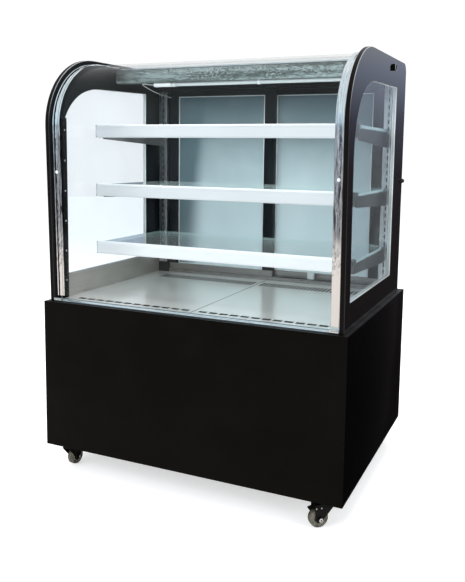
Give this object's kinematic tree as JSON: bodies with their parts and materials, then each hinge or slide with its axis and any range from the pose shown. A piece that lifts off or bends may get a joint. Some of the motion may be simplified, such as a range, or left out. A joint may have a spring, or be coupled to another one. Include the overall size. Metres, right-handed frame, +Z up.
{
  "type": "glass display showcase",
  "caption": "Refrigerated counter showcase with a curved glass front, lit glass shelves and sliding rear doors, on a black cabinet with braked casters.",
  "frame": {"origin": "on the floor, under the centre of the base cabinet", "axes": "+Z up, -Y towards the customer, +Y towards the sliding doors, +X to the customer's right"},
  "size_m": [0.9, 0.68, 1.215],
  "materials": {
    "base_front": "smooth black powder coat, low sheen",
    "base_side": "gloss black enamel",
    "zinc": "bright zinc plate",
    "black_glass": "gloss black printed glass",
    "clear_glass": "clear toughened glass",
    "chrome": "mirror polish",
    "aluminium": "satin anodised",
    "stainless": "fine brushed stainless steel",
    "frame_black": "black anodised",
    "bracket_grey": "dark grey coat",
    "diffuser": "frosted white diffuser",
    "lamp": "frosted tube",
    "foam": "light grey liner",
    "cast_black": "black paint on steel",
    "fin_metal": "bare fins",
    "fork_black": "black plate",
    "wheel_grey": "grey moulded tread",
    "plastic_black": "moulded black",
    "button": "moulded grey",
    "rocker_green": "moulded green",
    "rocker_red": "moulded red"
  },
  "bodies": {
    "cabinet": {"base_front_panel": "base_front", "base_side_panel_left": "base_side", "base_side_panel_right": "base_side", "bottom_pan": "zinc", "chrome_trim_left": "chrome", "chrome_trim_right": "chrome", "cold_well": "foam", "compressor": "cast_black", "condenser": "fin_metal", "deck_tray_left": "stainless", "deck_tray_right": "stainless", "door_track": "aluminium", "end_panel_left": "black_glass", "end_panel_right": "black_glass", "end_window_left": "clear_glass", "end_window_right": "clear_glass", "evaporator": "fin_metal", "front_glass": "clear_glass", "front_sill": "aluminium", "light_bar_1": "diffuser", "light_bar_2": "diffuser", "light_bar_3": "diffuser", "power_gland": "plastic_black", "rear_frame": "frame_black", "rear_service_panel": "base_side", "roof_lamp_housing": "aluminium", "roof_lamp_tube": "lamp", "roof_panel": "stainless", "shelf_bracket_1_left": "bracket_grey", "shelf_bracket_1_right": "bracket_grey", "shelf_bracket_2_left": "bracket_grey", "shelf_bracket_2_right": "bracket_grey", "shelf_bracket_3_left": "bracket_grey", "shelf_bracket_3_right": "bracket_grey", "shelf_glass_1": "clear_glass", "shelf_glass_2": "clear_glass", "shelf_glass_3": "clear_glass", "shelf_standard_left": "stainless", "shelf_standard_right": "stainless", "thermostat": "plastic_black"},
    "left_door": {"door_frame_left": "frame_black", "door_glass_left": "clear_glass"},
    "right_door": {"door_frame_right": "frame_black", "door_glass_right": "clear_glass"},
    "light_rocker": {"light_switch": "rocker_green"},
    "power_rocker": {"power_switch": "rocker_red"},
    "up_key": {"button_up": "button"},
    "down_key": {"button_down": "button"},
    "condenser_fan": {"condenser_fan": "plastic_black"},
    "evaporator_fan": {"evaporator_fan": "plastic_black"},
    "caster_front_left": {"caster_fork_front_left": "fork_black"},
    "wheel_front_left": {"caster_wheel_front_left": "wheel_grey"},
    "brake_front_left": {"brake_pedal_front_left": "fork_black"},
    "caster_front_right": {"caster_fork_front_right": "fork_black"},
    "wheel_front_right": {"caster_wheel_front_right": "wheel_grey"},
    "brake_front_right": {"brake_pedal_front_right": "fork_black"},
    "caster_rear_left": {"caster_fork_rear_left": "fork_black"},
    "wheel_rear_left": {"caster_wheel_rear_left": "wheel_grey"},
    "caster_rear_right": {"caster_fork_rear_right": "fork_black"},
    "wheel_rear_right": {"caster_wheel_rear_right": "wheel_grey"}
  },
  "joints": [
    {"name": "left_door_slide", "type": "slide", "parent": "cabinet", "child": "left_door", "axis": [1, 0, 0], "range_m": [0, 0.361]},
    {"name": "right_door_slide", "type": "slide", "parent": "cabinet", "child": "right_door", "axis": [-1, 0, 0], "range_m": [0, 0.361]},
    {"name": "light_switch_rock", "type": "hinge", "parent": "cabinet", "child": "light_rocker", "pos_m": [0.165, 0.333, 0.444], "axis": [-1, 0, 0], "range_deg": [0, 10]},
    {"name": "power_switch_rock", "type": "hinge", "parent": "cabinet", "child": "power_rocker", "pos_m": [0.125, 0.333, 0.444], "axis": [-1, 0, 0], "range_deg": [0, 10]},
    {"name": "up_key_press", "type": "slide", "parent": "cabinet", "child": "up_key", "axis": [0, -1, 0], "range_m": [0, 0.0008], "stiffness_N_per_m": 1500},
    {"name": "down_key_press", "type": "slide", "parent": "cabinet", "child": "down_key", "axis": [0, -1, 0], "range_m": [0, 0.0008], "stiffness_N_per_m": 1500},
    {"name": "condenser_fan_spin", "type": "hinge", "parent": "cabinet", "child": "condenser_fan", "pos_m": [0.13, 0.218, 0.209], "axis": [0, 1, 0], "continuous": true},
    {"name": "evaporator_fan_spin", "type": "hinge", "parent": "cabinet", "child": "evaporator_fan", "pos_m": [0, -0.15, 0.438], "axis": [0, 1, 0], "continuous": true},
    {"name": "swivel_front_left", "type": "hinge", "parent": "cabinet", "child": "caster_front_left", "pos_m": [-0.396, -0.299, 0.0625], "axis": [0, 0, 1], "continuous": true},
    {"name": "roll_front_left", "type": "hinge", "parent": "caster_front_left", "child": "wheel_front_left", "pos_m": [-0.3949, -0.27803, 0.025], "axis": [-0.9986, 0.0523, 0], "continuous": true},
    {"name": "brake_front_left_lift", "type": "hinge", "parent": "caster_front_left", "child": "brake_front_left", "pos_m": [-0.39453, -0.27104, 0.0545], "axis": [0.9986, -0.0523, 0], "range_deg": [0, 18]},
    {"name": "swivel_front_right", "type": "hinge", "parent": "cabinet", "child": "caster_front_right", "pos_m": [0.396, -0.299, 0.0625], "axis": [0, 0, 1], "continuous": true},
    {"name": "roll_front_right", "type": "hinge", "parent": "caster_front_right", "child": "wheel_front_right", "pos_m": [0.38039, -0.31305, 0.025], "axis": [0.6691, -0.7431, 0], "continuous": true},
    {"name": "brake_front_right_lift", "type": "hinge", "parent": "caster_front_right", "child": "brake_front_right", "pos_m": [0.37519, -0.31774, 0.0545], "axis": [-0.6691, 0.7431, 0], "range_deg": [0, 18]},
    {"name": "swivel_rear_left", "type": "hinge", "parent": "cabinet", "child": "caster_rear_left", "pos_m": [-0.396, 0.299, 0.0625], "axis": [0, 0, 1], "continuous": true},
    {"name": "roll_rear_left", "type": "hinge", "parent": "caster_rear_left", "child": "wheel_rear_left", "pos_m": [-0.3788, 0.31105, 0.025], "axis": [-0.5736, 0.8191, 0], "continuous": true},
    {"name": "swivel_rear_right", "type": "hinge", "parent": "cabinet", "child": "caster_rear_right", "pos_m": [0.396, 0.299, 0.0625], "axis": [0, 0, 1], "continuous": true},
    {"name": "roll_rear_right", "type": "hinge", "parent": "caster_rear_right", "child": "wheel_rear_right", "pos_m": [0.37991, 0.3125, 0.025], "axis": [-0.6428, -0.766, 0], "continuous": true}
  ]
}
